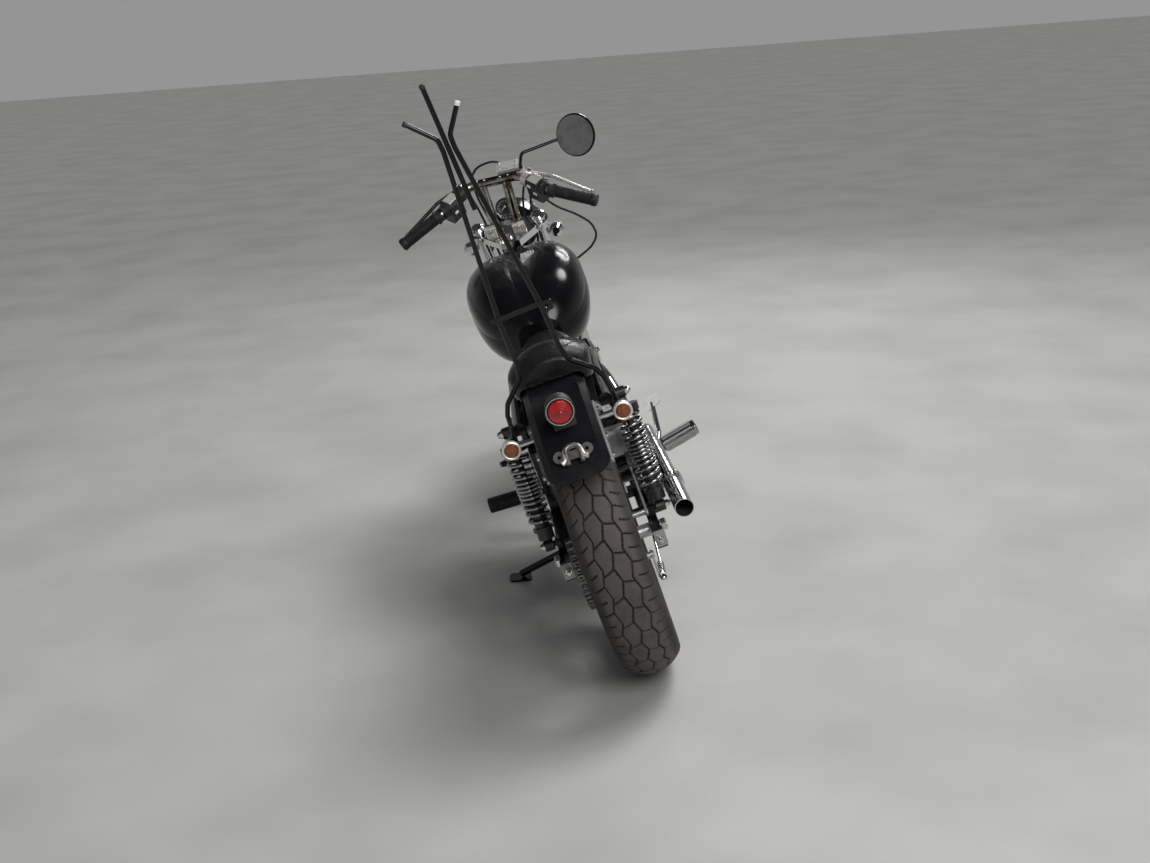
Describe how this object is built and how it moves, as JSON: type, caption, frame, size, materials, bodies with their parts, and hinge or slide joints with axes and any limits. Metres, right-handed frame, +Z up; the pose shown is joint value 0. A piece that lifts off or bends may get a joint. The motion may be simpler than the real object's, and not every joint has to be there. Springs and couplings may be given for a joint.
{
  "type": "cruiser motorcycle",
  "caption": "Small V-twin cruiser motorcycle with wire wheels, a pitchfork back rest and a solo seat, leaning on its side stand.",
  "frame": {"origin": "on the ground under the middle of the bounding box of the parked, leaning motorcycle", "axes": "+Y forwards along the ground, +X to the rider's right, +Z up"},
  "size_m": [0.753, 2.0983, 1.3368],
  "materials": {
    "black_paint": "gloss",
    "chrome": "polished",
    "aluminium": "satin",
    "steel": "satin",
    "tyre": "matte",
    "rubber": "matte",
    "leather": "satin",
    "black_plastic": "matte",
    "red_lens": "gloss",
    "amber_lens": "gloss",
    "mirror_glass": "polished",
    "clear_lens": "gloss"
  },
  "bodies": {
    "chassis": {"frame_spine": "black_paint", "frame_cradle": "black_paint", "swingarm": "black_paint", "rear_axle": "aluminium", "torque_arm": "chrome", "shock_absorbers": "chrome", "shock_springs": "chrome", "crankcase": "aluminium", "cylinders": "black_paint", "intake": "chrome", "exhaust": "chrome", "fuel_tank": "black_paint", "seat": "leather", "rear_fender": "black_paint", "fender_stays": "chrome", "tail_light": "black_plastic", "tail_lens": "red_lens", "plate_bracket": "chrome", "rear_signals": "chrome", "sissy_bar": "black_paint", "battery_box": "black_plastic", "drive_chain": "steel", "chain_guard": "black_paint", "foot_pegs": "rubber", "brake_pedal": "chrome", "gear_lever": "chrome", "rear_lenses": "amber_lens"},
    "rear_wheel": {"rear_tyre": "tyre", "rear_wheel": "chrome", "rear_sprocket": "steel"},
    "front_wheel": {"front_tyre": "tyre", "front_wheel": "chrome", "front_disc": "steel"},
    "steering": {"yokes": "aluminium", "fork_tubes": "chrome", "fork_sliders": "aluminium", "front_fender": "black_paint", "handlebar": "chrome", "grips": "rubber", "switches": "aluminium", "clutch_lever": "aluminium", "brake_lever": "aluminium", "mirror": "black_paint", "mirror_glass": "mirror_glass", "headlight": "chrome", "headlight_glass": "clear_lens", "speedometer": "chrome", "front_signals": "chrome", "front_lenses": "amber_lens", "front_caliper": "aluminium", "control_cables": "rubber"},
    "stand": {"side_stand": "black_paint"}
  },
  "joints": [
    {"name": "rear_wheel_spin", "type": "hinge", "parent": "chassis", "child": "rear_wheel", "pos_m": [0.08024, -0.74722, 0.29689], "axis": [0.9636, 0, 0.2672], "continuous": true},
    {"name": "steering_turn", "type": "hinge", "parent": "chassis", "child": "steering", "pos_m": [0.08723, 0.6829, 0.27169], "axis": [-0.2189, -0.5736, 0.7894], "range_deg": [-26, 46]},
    {"name": "front_wheel_spin", "type": "hinge", "parent": "steering", "child": "front_wheel", "pos_m": [0.08833, 0.73695, 0.31127], "axis": [0.9756, -0.1422, 0.1672], "continuous": true},
    {"name": "side_stand_fold", "type": "hinge", "parent": "chassis", "child": "stand", "pos_m": [0.01644, -0.25722, 0.10787], "axis": [-0.5884, 0.0785, 0.8048], "range_deg": [0, 103]}
  ]
}
